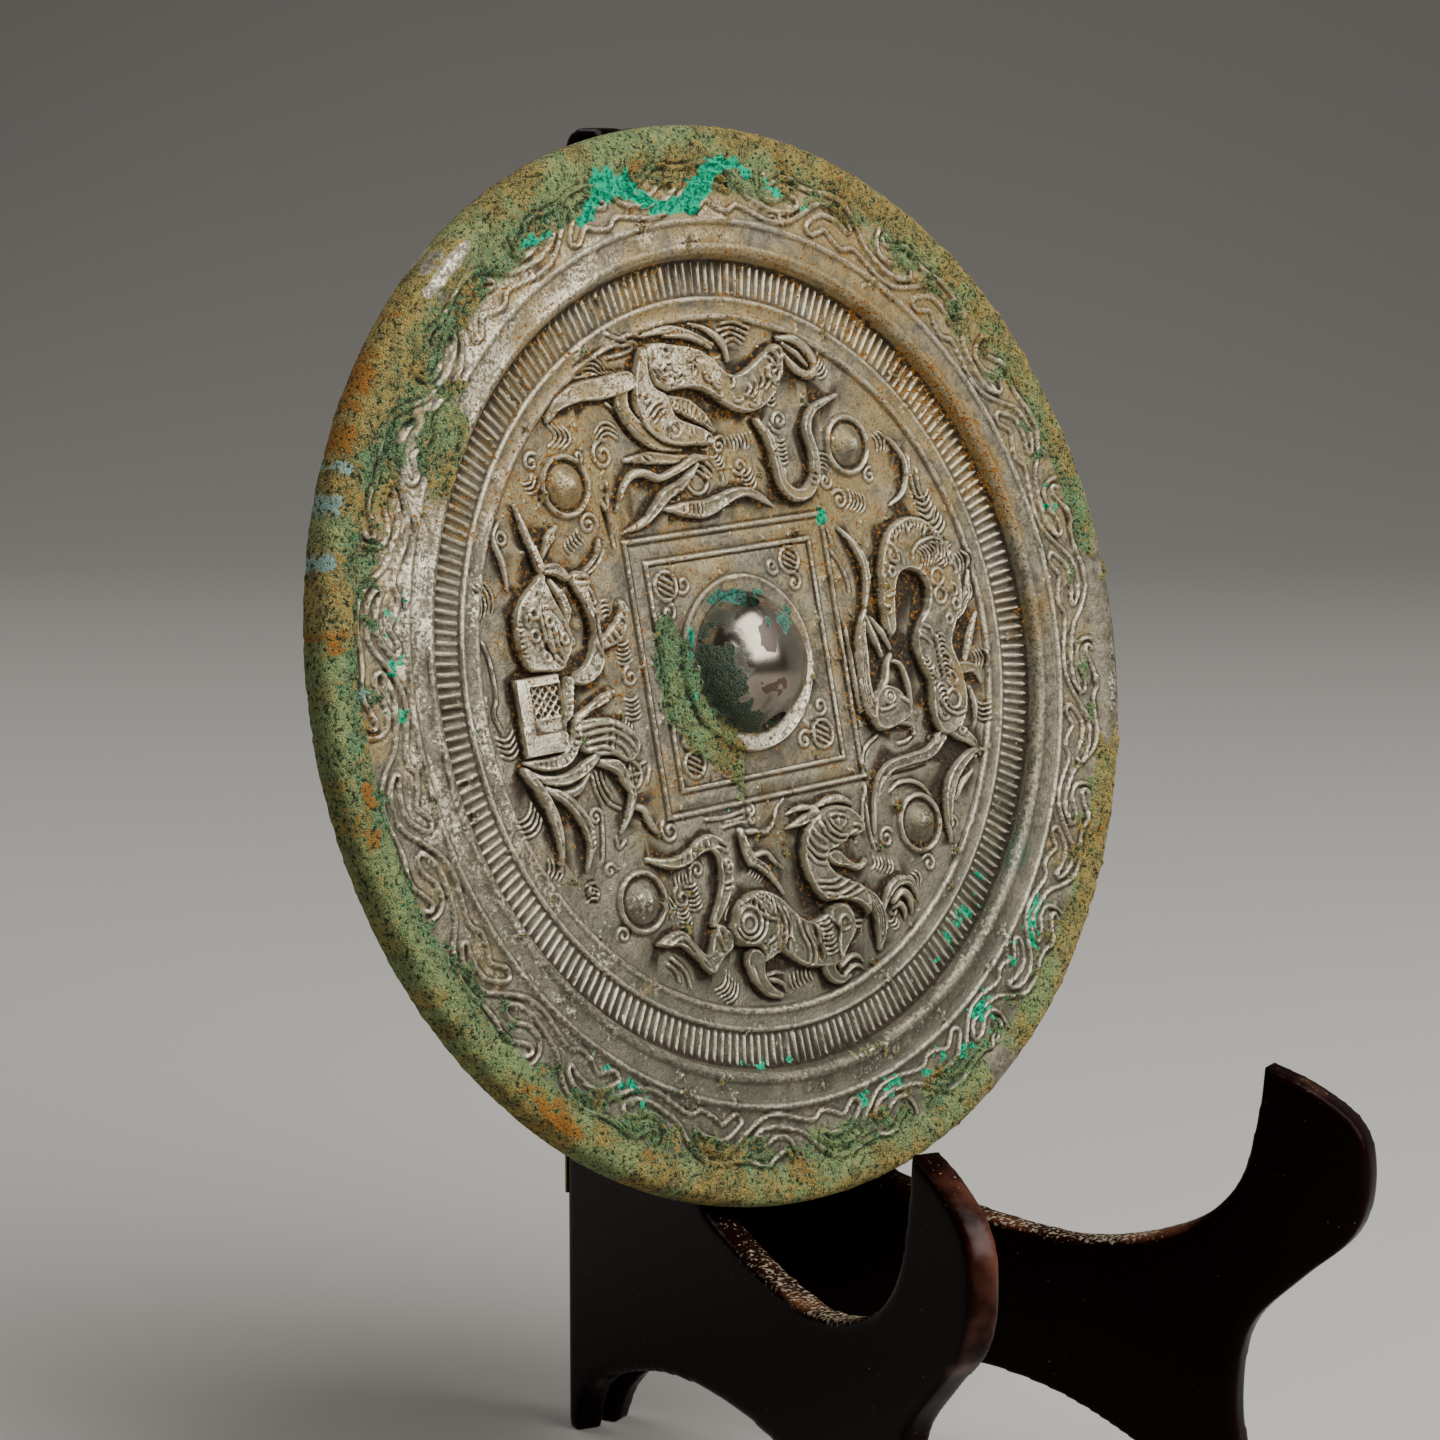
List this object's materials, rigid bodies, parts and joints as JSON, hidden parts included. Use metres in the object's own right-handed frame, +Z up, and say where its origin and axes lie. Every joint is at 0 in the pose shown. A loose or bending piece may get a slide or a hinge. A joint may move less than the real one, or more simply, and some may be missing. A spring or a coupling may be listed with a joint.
{
  "type": "bronze mirror on a folding stand",
  "caption": "Round cast bronze mirror, its back modelled with beasts, a knob and a cloud-scroll rim, leaning in a dark wooden stand that folds at its spine.",
  "frame": {"origin": "middle of the underside, on the surface that the stand's feet rest on", "axes": "+Z up, -Y the way the decorated side of the mirror faces, +X to the right of a person who looks at it"},
  "size_m": [0.1978, 0.154, 0.2525],
  "materials": {
    "patinated_bronze": "high-tin cast bronze, grey where bare, with green and ochre corrosion crust and earth in the hollows",
    "lacquered_wood": "dark reddish-brown lacquer on hardwood, glossy, worn through at the edges and dusty on top",
    "aged_brass": "small rolled brass fittings, dulled"
  },
  "bodies": {
    "left_half": {"stand_board_left": "lacquered_wood", "mirror": "patinated_bronze", "hinge_leaf_lower_left": "aged_brass", "hinge_leaf_upper_left": "aged_brass", "hinge_pin_lower": "aged_brass", "hinge_pin_upper": "aged_brass", "hinge_nail_lower_left_1": "aged_brass", "hinge_nail_lower_left_2": "aged_brass", "hinge_nail_upper_left_1": "aged_brass", "hinge_nail_upper_left_2": "aged_brass"},
    "right_half": {"stand_board_right": "lacquered_wood", "hinge_leaf_lower_right": "aged_brass", "hinge_leaf_upper_right": "aged_brass", "hinge_nail_lower_right_1": "aged_brass", "hinge_nail_lower_right_2": "aged_brass", "hinge_nail_upper_right_1": "aged_brass", "hinge_nail_upper_right_2": "aged_brass"}
  },
  "joints": [
    {"name": "stand_fold", "type": "hinge", "parent": "left_half", "child": "right_half", "pos_m": [0, 0.07534, 0.06], "axis": [0, 0, 1], "range_deg": [0, 25]}
  ]
}
